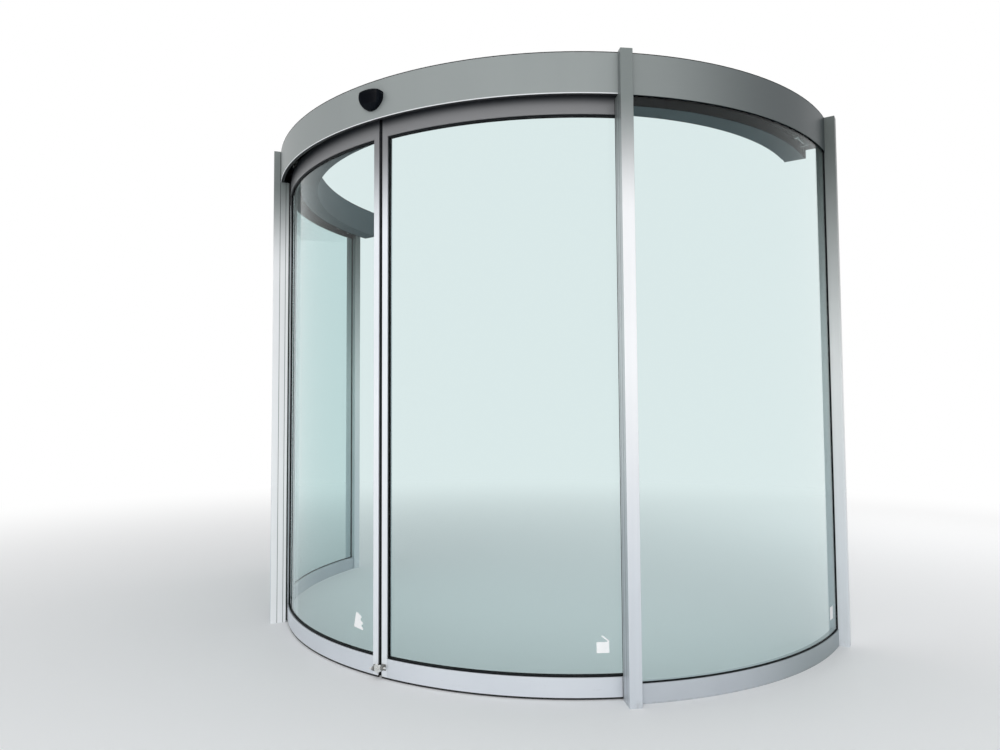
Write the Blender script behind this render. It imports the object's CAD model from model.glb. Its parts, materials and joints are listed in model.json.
import json
import math
import random

import bpy
from mathutils import Matrix, Vector


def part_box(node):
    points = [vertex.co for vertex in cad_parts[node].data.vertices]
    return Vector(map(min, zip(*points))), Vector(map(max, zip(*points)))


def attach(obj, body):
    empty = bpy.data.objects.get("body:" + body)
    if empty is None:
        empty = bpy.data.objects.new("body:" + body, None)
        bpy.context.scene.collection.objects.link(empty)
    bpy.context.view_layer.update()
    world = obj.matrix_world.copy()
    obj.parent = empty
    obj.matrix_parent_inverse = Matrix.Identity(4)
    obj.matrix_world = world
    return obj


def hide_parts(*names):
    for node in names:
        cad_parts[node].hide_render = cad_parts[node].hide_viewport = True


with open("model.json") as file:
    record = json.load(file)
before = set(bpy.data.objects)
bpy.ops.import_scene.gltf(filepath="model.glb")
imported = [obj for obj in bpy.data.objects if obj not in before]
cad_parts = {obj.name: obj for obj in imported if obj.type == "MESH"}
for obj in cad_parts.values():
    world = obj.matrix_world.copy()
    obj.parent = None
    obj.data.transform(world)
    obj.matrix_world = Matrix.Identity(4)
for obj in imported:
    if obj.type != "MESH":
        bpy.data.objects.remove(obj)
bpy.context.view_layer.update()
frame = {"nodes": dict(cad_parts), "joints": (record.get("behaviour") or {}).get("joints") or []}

nodes = frame["nodes"]


# Header cladding.
# Curved aluminium sheets, satin anodised, rolled to the drum's radius and hooked on the ring.
# Their tones are fitted to the photograph: dark at the right end, bright on the doorway's lip.
class Output:
    """A shader node's output. Arithmetic on it adds Math nodes, and node() adds any other."""

    def __init__(self, tree, socket=None):
        self.tree = tree
        self.socket = socket

    def node(self, kind, settings=None, values=None, output=0):
        """Add a node: its settings first, then its sockets by name or number."""
        made = self.tree.nodes.new("ShaderNode" + kind)
        for key, value in (settings or {}).items():
            setattr(made, key, value)
        for key, value in (values or {}).items():
            if isinstance(value, Output):
                self.tree.links.new(value.socket, made.inputs[key])
            else:
                made.inputs[key].default_value = value
        return Output(self.tree, made.outputs[output])

    def calc(self, operation, first, second=0.0):
        return self.node("Math", {"operation": operation}, {0: first, 1: second})

    def __add__(self, other):
        return self.calc("ADD", self, other)

    __radd__ = __add__

    def __sub__(self, other):
        return self.calc("SUBTRACT", self, other)

    def __rsub__(self, other):
        return self.calc("SUBTRACT", other, self)

    def __mul__(self, other):
        return self.calc("MULTIPLY", self, other)

    __rmul__ = __mul__

    def __abs__(self):
        return self.calc("ABSOLUTE", self)


def colour(red, green, blue):
    """A colour as seen on a screen, 0 to 255, as the linear colour that a shader takes."""
    return tuple(((c / 255 + 0.055) / 1.055) ** 2.4 for c in (red, green, blue)) + (1,)


def new_finish(name):
    """A material, and the output with its object coordinates."""
    material = bpy.data.materials.new(name)
    material.use_nodes = True
    return material, Output(material.node_tree).node("TexCoord", output=3)


def stretched(place, upwards):
    """The place with its height scaled, so that a noise on it runs out in streaks."""
    return place.node("Mapping", values={"Vector": place, "Scale": (1, 1, upwards)})


def noise(place, scale, detail, roughness=0.5):
    values = {"Vector": place, "Scale": scale, "Detail": detail, "Roughness": roughness}
    return place.node("TexNoise", values=values)


def ramp(value, low, high):
    """0 below low and 1 above high, with a soft step between them."""
    settings = {"interpolation_type": "SMOOTHSTEP"}
    return value.node("MapRange", settings, {0: value, 1: low, 2: high})


def mix(factor, first, second):
    """A colour between two, by a factor."""
    return factor.node("Mix", {"data_type": "RGBA"}, {0: factor, 6: first, 7: second}, output=2)


def bump(height, distance, strength, normal=None):
    values = {"Height": height, "Distance": distance, "Strength": strength}
    if normal:
        values["Normal"] = normal
    return height.node("Bump", values=values)


def round_edges(place, radius):
    """Normals that soften the sharp edges of a profile, as its anodised edges are."""
    return place.node("Bevel", {"samples": 4}, {"Radius": radius})


def set_shader(material, **sockets):
    """Set or link sockets of the material's shader; an underline stands for a space."""
    shader = material.node_tree.nodes["Principled BSDF"]
    for name, value in sockets.items():
        socket = shader.inputs[name.replace("_", " ")]
        if isinstance(value, Output):
            material.node_tree.links.new(value.socket, socket)
        else:
            socket.default_value = value


def dress(material, *names):
    """Give CAD nodes this finish."""
    for name in names:
        nodes[name].data.materials.clear()
        nodes[name].data.materials.append(material)


axis_y = frame["joints"][0]["pos_m"][1]


def axes(place):
    """The x, y and z of a place, as three outputs."""
    return [place.node("SeparateXYZ", values={0: place}, output=i) for i in range(3)]


def drum_radius(place):
    """The distance from the drum's upright axis."""
    x, y, _ = axes(place)
    y = y - axis_y
    return place.calc("SQRT", x * x + y * y)


facade_radius = 1.875
sheet = 0.004
doorway_half = 1.19
lip_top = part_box("fascia_centre")[0].z + 0.0025


def cladding_finish(name, dark, light, end):
    """Satin sheet between two tones, and its tone at the drum's ends. The back is dark."""
    material, place = new_finish(name)
    across, _, height = axes(place)
    side = abs(across)
    bands = noise(stretched(place, 0.06), 2.2, 4)
    cloud = noise(place, 1.1, 2)
    grain = noise(stretched(place, 60), 9, 2)
    front = ramp(drum_radius(place), facade_radius - 0.75 * sheet, facade_radius - 0.5 * sheet)
    over_doorway = 1 - ramp(side, doorway_half, doorway_half + 0.03)
    lip = over_doorway * (1 - ramp(height, lip_top, lip_top + 0.003))
    near_end = ramp(side, 1.25, 1.86)
    tone = mix(bands * 0.65 + cloud * 0.35, colour(*dark), colour(*light))
    tone = mix(near_end, tone, colour(*end))
    tone = mix(lip, tone, colour(232, 235, 237))
    set_shader(
        material,
        Base_Color=mix(front, colour(20, 22, 26), tone),
        Metallic=0.3 * front,
        Roughness=0.36 + bands * 0.14,
        Normal=bump(grain, 0.00005, 0.25, round_edges(place, 0.0012)),
    )
    return material


for part, dark, light, end in (
    ("left", (132, 138, 138), (150, 156, 155), (130, 136, 136)),
    ("centre", (134, 140, 140), (156, 162, 161), (150, 156, 156)),
    ("right", (124, 130, 130), (142, 148, 147), (66, 74, 76)),
):
    dress(cladding_finish(f"cladding_{part}", dark, light, end), f"fascia_{part}")

# Header ring.
# Folded sheet in grey paint: the soffit, the inner fascia and a closed box at each end, and a roof
# plate with dust on top. Towards the slot they are black and without gloss, so that it stays dark.
slot_radius = 1.7505
roof_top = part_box("header_roof")[1].z
ring_paint, place = new_finish("ring_paint")
height = axes(place)[2]
cloud = noise(place, 2.3, 4)
peel = noise(place, 420, 2)
slot_side = ramp(drum_radius(place), slot_radius, slot_radius + 0.5 * sheet)
below_roof = 1 - ramp(height, roof_top - 0.5 * sheet, roof_top - 0.125 * sheet)
tone = mix(cloud, colour(86, 96, 100), colour(104, 115, 119))
set_shader(
    ring_paint,
    Base_Color=mix(slot_side * below_roof, tone, colour(14, 17, 21)),
    Specular_IOR_Level=0.0,
    Roughness=0.46 + cloud * 0.14,
    Normal=bump(peel, 0.00008, 0.2, round_edges(place, 0.001)),
)
dress(ring_paint, "inner_fascia", "inner_soffit", "header_ends")

roof_dark, place = new_finish("roof_dark")
height = axes(place)[2]
dust = noise(place, 6, 5, 0.6)
upside = ramp(height, roof_top - 0.625 * sheet, roof_top - 0.25 * sheet)
dusty = mix(ramp(dust, 0.4, 0.75), colour(38, 40, 42), colour(78, 79, 78))
set_shader(
    roof_dark,
    Base_Color=mix(upside, colour(15, 17, 21), dusty),
    Specular_IOR_Level=0.0,
    Roughness=0.6 + dust * 0.3,
    Normal=bump(dust, 0.0004, 0.3),
)
dress(roof_dark, "header_roof")

# Roof screws.
# Low pan-head screws, zinc plated, hold the roof plate down on the fascia hooks and on the inner
# fascia, in two curved rows.
zinc, place = new_finish("zinc_plate")
spangle = noise(place, 60, 4, 0.6)
soil = ramp(noise(place, 22, 5, 0.65), 0.52, 0.75)
plated = mix(spangle, colour(158, 161, 163), colour(186, 187, 185))
set_shader(
    zinc,
    Base_Color=mix(soil * 0.6, plated, colour(92, 88, 80)),
    Metallic=0.85,
    Roughness=0.3 + spangle * 0.15 + soil * 0.25,
    Normal=bump(spangle, 0.00008, 0.3, round_edges(place, 0.0008)),
)


def only(*pieces):
    """Select these pieces alone, with the first one active."""
    bpy.ops.object.select_all(action="DESELECT")
    for piece in pieces:
        piece.select_set(True)
    bpy.context.view_layer.objects.active = pieces[0]


def new_piece(name):
    """Name the primitive that was just added, with its turn and scale put into its mesh."""
    piece = bpy.context.object
    piece.name = name
    bpy.ops.object.transform_apply(location=True, rotation=True, scale=True)
    return piece


def pick(piece, kind, test):
    """Go to edit mode with the edges or faces selected that pass a test."""
    only(piece)
    bpy.ops.object.mode_set(mode="EDIT")
    bpy.ops.mesh.select_mode(type=kind)
    bpy.ops.mesh.select_all(action="DESELECT")
    bpy.ops.object.mode_set(mode="OBJECT")
    for part in {"EDGE": piece.data.edges, "FACE": piece.data.polygons}[kind]:
        part.select = test(part)
    bpy.ops.object.mode_set(mode="EDIT")


def finish_piece(piece, material, body, smooth=35):
    """Leave edit mode, shade the piece, give it its finish and let it ride on a body."""
    if bpy.context.mode != "OBJECT":
        bpy.ops.object.mode_set(mode="OBJECT")
    only(piece)
    bpy.ops.object.shade_smooth_by_angle(angle=math.radians(smooth))
    if not piece.data.materials:
        piece.data.materials.append(material)
    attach(piece, body)


def on_drum(angle, distance, height):
    """A turn and a place: x runs outwards from the drum's axis at an angle from the front."""
    a = math.radians(angle)
    spot = Vector((distance * math.sin(a), axis_y - distance * math.cos(a), height))
    return Matrix.Translation(spot) @ Matrix.Rotation(a - math.pi / 2, 4, "Z")


def repeated(piece, name, places):
    """Copies of a piece at each place, joined as one."""
    copies = []
    for spot in places:
        twin = piece.copy()
        twin.data = piece.data.copy()
        twin.data.transform(spot)
        bpy.context.scene.collection.objects.link(twin)
        copies.append(twin)
    only(*copies)
    bpy.ops.object.join()
    copies[0].name = name
    return copies[0]


screw_radius = 0.0055
screw_rise = 0.0012
dome_width = 0.001
dome_rise = 0.0004
recess_rim = 0.0022
recess_slant = 0.0004
recess_depth = 0.0009
inner_row = 1.655
outer_row = 1.858
bpy.ops.object.select_all(action="DESELECT")
bpy.ops.mesh.primitive_cylinder_add(
    vertices=16, radius=screw_radius, depth=screw_rise, location=(0, 0, screw_rise / 2)
)
screw = new_piece("roof_screw")
pick(screw, "FACE", lambda face: face.normal.z > 0.9)
bpy.ops.mesh.inset(thickness=dome_width, depth=dome_rise)
bpy.ops.mesh.inset(thickness=recess_rim)
bpy.ops.mesh.inset(thickness=recess_slant, depth=-recess_depth)
bpy.ops.object.mode_set(mode="OBJECT")
roof_rows = [on_drum(angle, inner_row, roof_top) for angle in range(-80, 81, 8)]
roof_rows += [on_drum(angle, outer_row, roof_top) for angle in range(-84, 85, 6)]
roof_screws = repeated(screw, "roof_screws", roof_rows)
finish_piece(roof_screws, zinc, "frame")
bpy.data.objects.remove(screw)

# Running rail.
# A curved beam of extruded aluminium, mill finish, with a round bead that carries the rollers. It
# is coloured far darker than the metal, so that the slot looks as dark as in the photograph.
mill, place = new_finish("rail_mill_finish")
drawn = noise(stretched(place, 25), 7, 3)
grease = ramp(noise(place, 14, 5, 0.65), 0.5, 0.72)
set_shader(
    mill,
    Base_Color=mix(grease, colour(34, 38, 43), colour(20, 21, 23)),
    Specular_IOR_Level=0.0,
    Roughness=0.38 + grease * 0.3 + drawn * 0.1,
    Normal=bump(drawn, 0.0001, 0.3),
)
dress(mill, "track_beam")

# Posts and jambs.
# Extruded aluminium tubes, satin silver, with clip-on covers that run up over the cladding. Their
# tones are fitted to the photograph: dark at the top, and pale low down on the left post's sides.
def profile_finish(name, low, middle, top, darkens_from, darkens_to):
    """Satin silver extrusion: its tones low down, at mid height and at its darkened top."""
    material, place = new_finish(name)
    height = axes(place)[2]
    die_lines = noise(stretched(place, 0.004), 130, 2)
    draw_bands = noise(stretched(place, 0.004), 42, 1)
    film = noise(stretched(place, 0.35), 4.5, 5, 0.6)
    foot = 1 - ramp(height, 0.0, 0.05)
    splashes = foot * ramp(noise(place, 24, 5, 0.7), 0.4, 0.75)
    above_foot = ramp(height, 0.3, 1.7)
    silver = mix(above_foot, colour(*low), colour(*middle))
    banded = mix(draw_bands * 0.12, silver, colour(150, 154, 156))
    darkened = mix(ramp(height, darkens_from, darkens_to), banded, colour(*top))
    worn = mix(film * 0.12, darkened, colour(120, 124, 124))
    soiled = mix(splashes * 0.3, worn, colour(120, 118, 112))
    set_shader(
        material,
        Base_Color=soiled,
        Metallic=0.3,
        Roughness=0.33 + film * 0.16 + splashes * 0.2,
        Normal=bump(die_lines, 0.00006, 0.25, round_edges(place, 0.0012)),
    )
    return material, place, soiled


posts, place, silver = profile_finish(
    "post_satin",
    low=(216, 222, 229),
    middle=(250, 251, 253),
    top=(122, 129, 128),
    darkens_from=2.2,
    darkens_to=2.8,
)
post_face = 1.9155
side_grooves = (1.842, 1.8766)
groove_half = 0.0013
groove_edge = 0.0022
reach = drum_radius(place)
across, _, height = axes(place)
flank = 1 - ramp(reach, post_face - 0.001, post_face)
in_groove = sum(
    1 - ramp(abs(reach - groove), groove_half, groove_edge) for groove in side_grooves
)
right_post = ramp(across, -0.5, 0.5)
low_down = 1 - ramp(height, 0.8, 1.9)
silver = mix(flank * right_post * 0.14, silver, colour(128, 134, 138))
silver = mix(flank * (1 - right_post) * low_down * 0.85, silver, colour(252, 254, 255))
set_shader(posts, Base_Color=mix(in_groove * 0.75, silver, colour(52, 56, 58)))
dress(posts, "post_left", "post_right", "post_cover_left", "post_cover_right")
jambs, _, _ = profile_finish(
    "jamb_satin",
    low=(238, 243, 248),
    middle=(244, 247, 247),
    top=(92, 99, 97),
    darkens_from=1.3,
    darkens_to=2.95,
)
dress(jambs, "jamb_left", "jamb_right")

# Fixed panels.
# Curved floor rails of extruded aluminium hold curved panes of 10 mm safety glass in black
# rubber. Shoes have scuffed the rails, and grime lies along their foot.
def rail_finish(name, dark, light):
    """Satin aluminium, brushed lengthways, with darker tones fitted far right and high up."""
    material, place = new_finish(name)
    across, _, height = axes(place)
    brushed = noise(stretched(place, 45), 11, 3)
    cloud = noise(place, 3.1, 4)
    scuffs = ramp(noise(stretched(place, 9), 17, 6, 0.72), 0.62, 0.7)
    foot = 1 - ramp(height, 0.0, 0.012)
    grime = foot * ramp(noise(place, 30, 5, 0.7), 0.3, 0.65)
    far_right = ramp(across, 1.5, 1.85)
    under_header = ramp(height, 2.2, 2.72)
    in_slot = ramp(height, 2.77, 2.82)
    silver = mix(cloud, colour(*dark), colour(*light))
    silver = mix(far_right * 0.85, silver, colour(150, 161, 164))
    darkened = mix(under_header * 0.9, silver, colour(108, 108, 109))
    shaded = mix(in_slot * 0.85, darkened, colour(44, 50, 57))
    worn = mix(scuffs * 0.2, shaded, colour(158, 160, 163))
    set_shader(
        material,
        Base_Color=mix(grime * 0.3, worn, colour(116, 113, 107)),
        Metallic=0.4,
        Roughness=0.32 + cloud * 0.1 + scuffs * 0.2,
        Normal=bump(brushed, 0.00005, 0.3, round_edges(place, 0.0018)),
    )
    return material


floor_rail = rail_finish("floor_rail_satin", (188, 194, 201), (204, 210, 216))
dress(floor_rail, "fixed_rail_left", "fixed_rail_right")

# Real glass has an IOR of 1.5. With that, the white surround mirrored in the panes hid the slot.
glass, place = new_finish("clear_glass")
smear = noise(stretched(place, 0.45), 3.4, 6, 0.66)
set_shader(
    glass,
    Base_Color=colour(218, 233, 233),
    Roughness=ramp(smear, 0.55, 0.85) * 0.012,
    Transmission_Weight=1.0,
    IOR=1.25,
)
dress(glass, "fixed_glass_left", "fixed_glass_right")

rubber, place = new_finish("black_rubber")
bloom = noise(place, 35, 4, 0.6)
skin = noise(place, 900, 2)
set_shader(
    rubber,
    Base_Color=mix(ramp(bloom, 0.45, 0.8), colour(11, 14, 17), colour(28, 31, 33)),
    Specular_IOR_Level=0.2,
    Roughness=0.5 + bloom * 0.2,
    Normal=bump(skin, 0.00006, 0.4),
)
dress(rubber, "fixed_gaskets")

# Sliding leaves.
# Each leaf is a curved pane between a bottom and a top rail and two slim stiles, all of the same
# aluminium as the floor rails. The gasket shows as a black line round the glass.
leaf_foot = rail_finish("leaf_foot_satin", (214, 220, 227), (228, 232, 238))
leaf_frame = rail_finish("leaf_frame_satin", (230, 235, 241), (244, 247, 251))
for side in ("left", "right"):
    dress(leaf_foot, f"{side}_bottom_rail")
    dress(leaf_frame, f"{side}_top_rail", f"{side}_meeting_stile", f"{side}_rear_stile")
    dress(glass, f"{side}_glass")
    dress(rubber, f"{side}_gasket")


# Meeting seals.
# Where the leaves meet, each carries a soft black rubber nose that closes against the other.
# Its long corners are round, and catch a thin line of light.
def copy_of(node, name):
    """A copy of a CAD node's mesh as a new piece, with its loose triangles merged into faces."""
    piece = bpy.data.objects.new(name, nodes[node].data.copy())
    bpy.context.scene.collection.objects.link(piece)
    piece.data.materials.clear()
    only(piece)
    bpy.ops.object.mode_set(mode="EDIT")
    bpy.ops.mesh.select_all(action="SELECT")
    bpy.ops.mesh.remove_doubles(threshold=0.00001)
    bpy.ops.mesh.dissolve_limited(angle_limit=math.radians(0.5))
    bpy.ops.object.mode_set(mode="OBJECT")
    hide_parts(node)
    return piece


nose_radius = 0.0045


def seal_nose(side, free_side):
    """A leaf's meeting seal, with the two long edges at the x of its free side made round."""
    seal = copy_of(f"{side}_meeting_seal", f"{side}_seal_nose")

    def on_nose(edge):
        first, second = (seal.data.vertices[i].co for i in edge.vertices)
        return abs(first.z - second.z) > 0.5 and abs(first.x - free_side) < 0.002

    pick(seal, "EDGE", on_nose)
    bpy.ops.mesh.bevel(offset=nose_radius, segments=5)
    finish_piece(seal, rubber, f"leaf_{side}", smooth=40)


seal_nose("left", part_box("left_meeting_seal")[1].x)
seal_nose("right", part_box("right_meeting_seal")[0].x)

# Brushes.
# Strips of black nylon pile in a clip: one under each leaf, which sweeps over the floor, and one
# on each post, which the leaf slides past.
pile, place = new_finish("brush_pile")
tufts = noise(stretched(place, 0.05), 420, 2)
fibres = noise(stretched(place, 0.05), 1500, 1)
set_shader(
    pile,
    Base_Color=mix(tufts, colour(16, 17, 18), colour(42, 42, 43)),
    Roughness=0.85,
    Normal=bump(tufts + fibres * 0.4, 0.0008, 0.8),
)
dress(pile, "left_floor_brush", "right_floor_brush", "post_brushes")

# Carriages, stops and floor guides.
# Bent steel hangers with turned rollers on the running rail, stop brackets at its two ends, and at
# the foot of each post a thin plate with a tongue in the leaf's groove. All are zinc plated.
dress(zinc, "left_carriages", "right_carriages", "track_stops", "floor_guides")

# Hanger bolts.
# Two hexagon bolts with a washer hold each hanger's foot down on the leaf's top rail, beside the
# upright plate.
hanger_plate = 0.006
hanger_angles = (4.635, 36.342)
bolt_offset = 1.75
bolt_row = 1.7838
bolt_radius = 0.0075
bolt_rise = 0.0053
crown_width = 0.0012
crown_rise = 0.0004
washer_radius = 0.0088
washer_rise = 0.0016
bpy.ops.object.select_all(action="DESELECT")
bpy.ops.mesh.primitive_cylinder_add(
    vertices=24, radius=washer_radius, depth=washer_rise, location=(0, 0, washer_rise / 2)
)
bolt = new_piece("hanger_bolt")
bpy.ops.object.select_all(action="DESELECT")
bpy.ops.mesh.primitive_cylinder_add(
    vertices=6, radius=bolt_radius, depth=bolt_rise, location=(0, 0, washer_rise + bolt_rise / 2)
)
head = new_piece("bolt_head")
pick(head, "FACE", lambda face: face.normal.z > 0.9)
bpy.ops.mesh.inset(thickness=crown_width, depth=crown_rise)
bpy.ops.object.mode_set(mode="OBJECT")
only(bolt, head)
bpy.ops.object.join()
foot_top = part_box("left_carriages")[0].z + hanger_plate
bolt_angles = [angle + step for angle in hanger_angles for step in (-bolt_offset, bolt_offset)]
for side, sign in (("left", -1), ("right", 1)):
    spots = [on_drum(sign * angle, bolt_row, foot_top) for angle in bolt_angles]
    bolts = repeated(bolt, f"{side}_hanger_bolts", spots)
    finish_piece(bolts, zinc, f"leaf_{side}")
bpy.data.objects.remove(bolt)

# Motion sensor.
# A black moulded housing, wide at the brow and round at the chin, screwed a little aslant on the
# cladding over the doorway. A darker gloss window is let into its face and looks at the threshold.
sensor_gloss, place = new_finish("sensor_gloss")
dust = noise(place, 90, 5, 0.65)
set_shader(
    sensor_gloss,
    Base_Color=mix(ramp(dust, 0.5, 0.8), colour(8, 12, 18), colour(17, 22, 28)),
    Roughness=0.2 + ramp(dust, 0.45, 0.8) * 0.2,
    Normal=bump(noise(place, 300, 2), 0.00004, 0.15),
    Specular_IOR_Level=0.04,
)
sensor_window, place = new_finish("sensor_window")
film = noise(place, 45, 4, 0.6)
set_shader(
    sensor_window,
    Base_Color=mix(film, colour(6, 8, 13), colour(14, 16, 22)),
    Roughness=0.08 + film * 0.1,
    Specular_IOR_Level=0.02,
)
window_low = 2.879
window_high = 2.936
window_half = 0.051
window_taper = 0.19
window_joint = 0.0012
cheek_top = 0.8
cheek_bulge = 0.1
sensor_tilt = math.radians(6)
shell = copy_of("motion_sensor", "sensor_shell")
shell.data.materials.append(sensor_gloss)
shell.data.materials.append(sensor_window)
middle = (window_low + window_high) / 2
for spot, across_cut in (
    ((0, 0, window_low), (0, 0, 1)),
    ((0, 0, window_high), (0, 0, 1)),
    ((-window_half, 0, middle), (1, 0, window_taper)),
    ((window_half, 0, middle), (1, 0, -window_taper)),
):
    pick(shell, "FACE", lambda face: True)
    bpy.ops.mesh.bisect(plane_co=spot, plane_no=across_cut)
    bpy.ops.object.mode_set(mode="OBJECT")


def in_window(face):
    """True for a face on the front, inside the four cuts."""
    half = window_half + window_taper * (face.center.z - middle)
    inside = abs(face.center.x) < half and window_low < face.center.z < window_high
    return inside and face.normal.y < -0.9


pick(shell, "FACE", in_window)
bpy.ops.mesh.inset(thickness=window_joint, depth=-0.7 * window_joint)
shell.active_material_index = 1
bpy.ops.object.material_slot_assign()
bpy.ops.object.mode_set(mode="OBJECT")
chin, brow = (corner.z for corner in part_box("motion_sensor"))
for vertex in shell.data.vertices:
    up = (vertex.co.z - chin) / (cheek_top * (brow - chin))
    vertex.co.x *= 1 + cheek_bulge * math.sin(math.pi * max(0.0, min(1.0, up)))
sensor_middle = Matrix.Translation((0, 0, (chin + brow) / 2))
aslant = sensor_middle @ Matrix.Rotation(sensor_tilt, 4, "Y") @ sensor_middle.inverted()
shell.data.transform(aslant)
finish_piece(shell, sensor_gloss, "frame", smooth=30)

# Lock.
# A round chromed lock body hangs in front of the meeting line, and its pin goes through a plated
# steel eye on each leaf. The barrel for the key stands a little proud of its face.
chrome, place = new_finish("lock_chrome")
wear = noise(place, 160, 5, 0.65)
set_shader(
    chrome,
    Base_Color=mix(ramp(wear, 0.5, 0.75), colour(238, 238, 236), colour(188, 186, 180)),
    Metallic=1.0,
    Roughness=0.12 + wear * 0.16,
    Normal=bump(wear, 0.00006, 0.3, round_edges(place, 0.0015)),
)
dress(chrome, "padlock")
eye_steel, place = new_finish("eye_steel")
rust = ramp(noise(place, 130, 5, 0.7), 0.55, 0.75)
set_shader(
    eye_steel,
    Base_Color=mix(rust, colour(150, 150, 148), colour(106, 92, 78)),
    Metallic=0.7,
    Roughness=0.4 + rust * 0.35,
    Normal=bump(rust, 0.0001, 0.4, round_edges(place, 0.0006)),
)
dress(eye_steel, "left_lock_eye", "right_lock_eye")

barrel_radius = 0.0085
barrel_rise = 0.0015
barrel_step = 0.0004
barrel_rim = 0.0009
barrel_groove = 0.0016
plug_face = 0.0028
plug_middle = barrel_radius - barrel_rim - barrel_groove - plug_face
keyway_half_width = 0.0011
keyway_half_height = 0.0048
keyway_depth = 0.0012
lock_low, lock_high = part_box("padlock")
bpy.ops.object.select_all(action="DESELECT")
bpy.ops.mesh.primitive_cylinder_add(
    vertices=32,
    radius=barrel_radius,
    depth=barrel_rise,
    location=(0, lock_low.y - barrel_rise / 2, (lock_low.z + lock_high.z) / 2),
    rotation=(math.radians(90), 0, 0),
)
barrel = new_piece("lock_barrel")
pick(barrel, "FACE", lambda face: face.normal.y < -0.9)
bpy.ops.mesh.inset(thickness=barrel_rim, depth=barrel_step)
bpy.ops.mesh.inset(thickness=barrel_groove, depth=-barrel_step)
bpy.ops.mesh.inset(thickness=plug_face)
bpy.ops.transform.resize(
    value=(keyway_half_width / plug_middle, 1, keyway_half_height / plug_middle)
)
bpy.ops.mesh.inset(thickness=0.0001, depth=-keyway_depth)
finish_piece(barrel, chrome, "leaf_left")

# Stickers.
# Blank white paper squares that were left stuck on the panes, one on each leaf and one on the
# fixed pane at the right. One is torn along its side, and one has a strip peeling off.
paper, place = new_finish("sticker_paper")
crumple = noise(place, 55, 4, 0.6)
set_shader(
    paper,
    Base_Color=mix(crumple, colour(242, 244, 245), colour(253, 253, 253)),
    Roughness=0.75,
    Normal=bump(crumple, 0.0006, 0.5),
)
paper_thickness = 0.0003
square = 0.005
leaf_pane = 1.799
fixed_pane = 1.867


def sticker(name, bottom, width, height):
    """A flat sheet of paper, upright, divided into small squares."""
    bpy.ops.object.select_all(action="DESELECT")
    bpy.ops.mesh.primitive_grid_add(
        x_subdivisions=round(width / square),
        y_subdivisions=round(height / square),
        size=1,
        rotation=(math.radians(90), 0, 0),
    )
    bpy.ops.transform.resize(value=(width, 1, height))
    sheet_piece = new_piece(name)
    sheet_piece.data.transform(Matrix.Translation((0, 0, bottom + height / 2)))
    return sheet_piece


def lay_on_pane(sheet_piece, angle, pane):
    """Roll the flat sheet on to the pane, at an angle from the front, and give it thickness."""
    for vertex in sheet_piece.data.vertices:
        turn = math.radians(angle) + vertex.co.x / pane
        distance = pane - vertex.co.y
        vertex.co.x = distance * math.sin(turn)
        vertex.co.y = axis_y - distance * math.cos(turn)
    only(sheet_piece)
    bpy.ops.object.modifier_add(type="SOLIDIFY")
    sheet_piece.modifiers[0].thickness = paper_thickness
    sheet_piece.modifiers[0].offset = 1.0
    bpy.ops.object.modifier_apply(modifier=sheet_piece.modifiers[0].name)


torn_foot = 0.212
torn_width = 0.06
torn_height = 0.078
torn_lean = 0.1
left_corner = -0.039
left_slant = 0.017
right_corner = 0.025
tear_slant = 0.035
tear_start = 0.4
torn = sticker("torn_sticker", torn_foot, torn_width, torn_height)
torn_rows = round(torn_height / square)
random.seed(7)
ragged = [random.uniform(0.004, 0.009) * (-1) ** (row // 3) for row in range(torn_rows + 1)]
for vertex in torn.data.vertices:
    up = (vertex.co.z - torn_foot) / torn_height
    torn_by = tear_slant * max(0.0, up - tear_start)
    left_edge = left_corner + left_slant * up
    right_edge = right_corner - torn_by + ragged[round(up * torn_rows)]
    vertex.co.x = left_edge + (vertex.co.x / torn_width + 0.5) * (right_edge - left_edge)
    vertex.co.z -= torn_lean * vertex.co.x
lay_on_pane(torn, -5.1, leaf_pane)
finish_piece(torn, paper, "leaf_left", smooth=60)

peeled_foot = 0.207
peeled_height = 0.05
strip_start = 0.017
strip_steps = ((0.001, -0.001, 0.005), (-0.015, -0.003, 0.012), (-0.016, -0.001, 0.013))
peeled = sticker("peeled_sticker", peeled_foot, 0.059, peeled_height)


def at_strip(edge):
    """True for an upper edge of the paper at the corner where the strip hangs on."""
    ends = [peeled.data.vertices[i].co for i in edge.vertices]
    upper_edge = peeled_foot + peeled_height - 0.1 * square
    return all(end.z > upper_edge and end.x > strip_start for end in ends)


pick(peeled, "EDGE", at_strip)
for step in strip_steps:
    bpy.ops.mesh.extrude_region_move(TRANSFORM_OT_translate={"value": step})
bpy.ops.object.mode_set(mode="OBJECT")
lay_on_pane(peeled, 35.6, leaf_pane)
finish_piece(peeled, paper, "leaf_right", smooth=60)

straight = sticker("plain_sticker", bottom=0.173, width=0.055, height=0.068)
lay_on_pane(straight, 82.7, fixed_pane)
finish_piece(straight, paper, "frame", smooth=60)


# Stage.
# A plain pale floor that fades into the white surround, soft light, and the camera at the place
# from which the door is seen.
def seen_plainly(tree):
    """1 for what the camera, a gloss or a pane of glass sees, and 0 for light on its way."""
    path = tree.nodes.new("ShaderNodeLightPath")
    kinds = ("Camera", "Glossy", "Transmission")
    camera_ray, glossy_ray, glass_ray = (Output(tree, path.outputs[f"Is {k} Ray"]) for k in kinds)
    rays = camera_ray + glossy_ray + glass_ray
    return rays.calc("MINIMUM", rays, 1.0)


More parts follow.
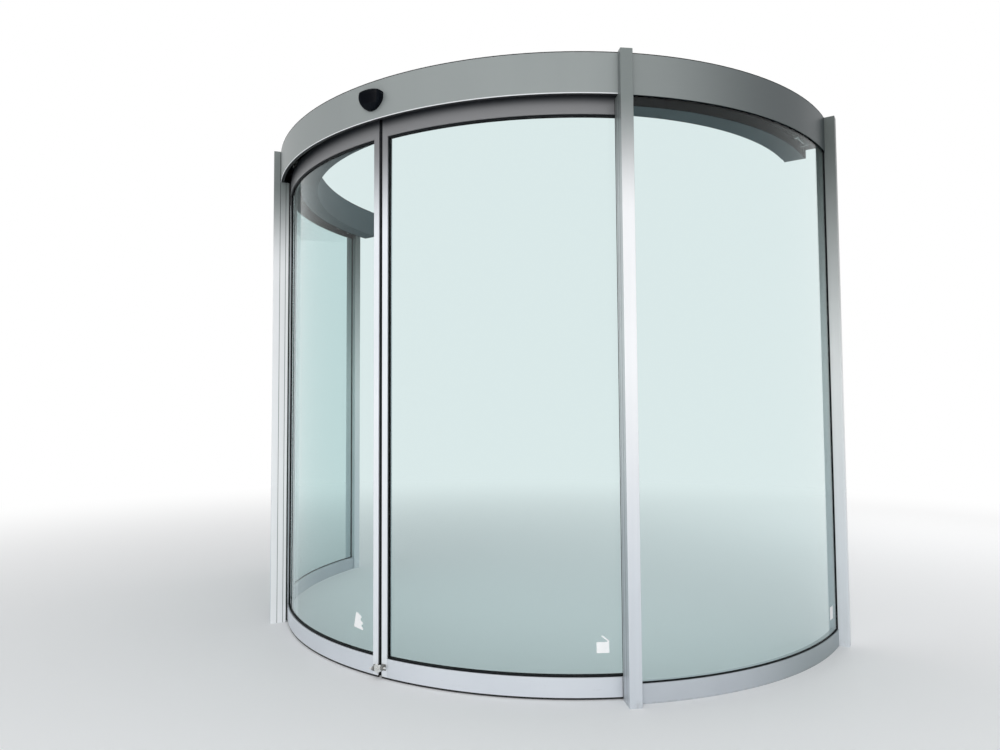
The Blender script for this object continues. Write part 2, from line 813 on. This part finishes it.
bpy.ops.object.select_all(action="DESELECT")
bpy.ops.mesh.primitive_plane_add(size=80)
floor = bpy.context.object
floor.name = "floor"
floor_paint, place = new_finish("floor_pale")
tree = floor_paint.node_tree
distance = place.node("VectorMath", {"operation": "LENGTH"}, {0: place}, output=1)
far = ramp(distance, 1.0, 9.0)
set_shader(floor_paint, Base_Color=colour(249, 250, 251), Roughness=0.85)
white = place.node("Emission", values={"Color": (1, 1, 1, 1), "Strength": 1.0})
painted = Output(tree, tree.nodes["Principled BSDF"].outputs[0])
faded = place.node("MixShader", values={0: far * seen_plainly(tree), 1: painted, 2: white})
tree.links.new(faded.socket, tree.nodes["Material Output"].inputs["Surface"])
floor.data.materials.append(floor_paint)

world = bpy.data.worlds.new("surround")
bpy.context.scene.world = world
world.use_nodes = True
tree = world.node_tree
seen = seen_plainly(tree)
soft = seen.node("Background", values={"Color": (0.97, 0.985, 1, 1), "Strength": 0.48})
plain = seen.node("Background", values={"Color": (1, 1, 1, 1), "Strength": 1.0})
both = seen.node("MixShader", values={0: seen, 1: soft, 2: plain})
tree.links.new(both.socket, tree.nodes["World Output"].inputs["Surface"])

target = Vector((0, 0, 1.3))
for lamp_name, spot, width, power in (
    ("key_light", (3.4, -6.6, 2.6), 3.5, 225),
    ("top_light", (0.0, 0.1, 7.0), 4.5, 70),
    ("back_light", (2.5, 6.0, 3.0), 4.0, 60),
):
    lamp = bpy.data.lights.new(lamp_name, "AREA")
    lamp.shape = "DISK"
    lamp.size = width
    lamp.energy = power
    holder = bpy.data.objects.new(lamp_name, lamp)
    bpy.context.scene.collection.objects.link(holder)
    holder.visible_camera = False
    holder.visible_glossy = False
    holder.visible_transmission = False
    holder.location = spot
    holder.rotation_euler = (target - Vector(spot)).to_track_quat("-Z", "Y").to_euler()

camera_place = Vector((2.408, axis_y - 4.4808, 1.333))
camera_lens = 25.215
yaw, pitch, roll = (math.radians(angle) for angle in (32.354, 2.737, -0.361))
forward = Vector(
    (-math.sin(yaw) * math.cos(pitch), math.cos(yaw) * math.cos(pitch), math.sin(pitch))
)
level = Vector((math.cos(yaw), math.sin(yaw), 0))
upright = level.cross(forward)
across = level * math.cos(roll) + upright * math.sin(roll)
upward = upright * math.cos(roll) - level * math.sin(roll)
camera = bpy.data.objects.new("camera", bpy.data.cameras.new("camera"))
camera.data.lens = camera_lens
camera.data.sensor_width = 36
camera.data.clip_end = 200
turn = Matrix((across, upward, -forward)).transposed().to_4x4()
camera.matrix_world = Matrix.Translation(camera_place) @ turn
bpy.context.scene.collection.objects.link(camera)
bpy.context.scene.camera = camera
bpy.context.scene.view_settings.view_transform = "Standard"
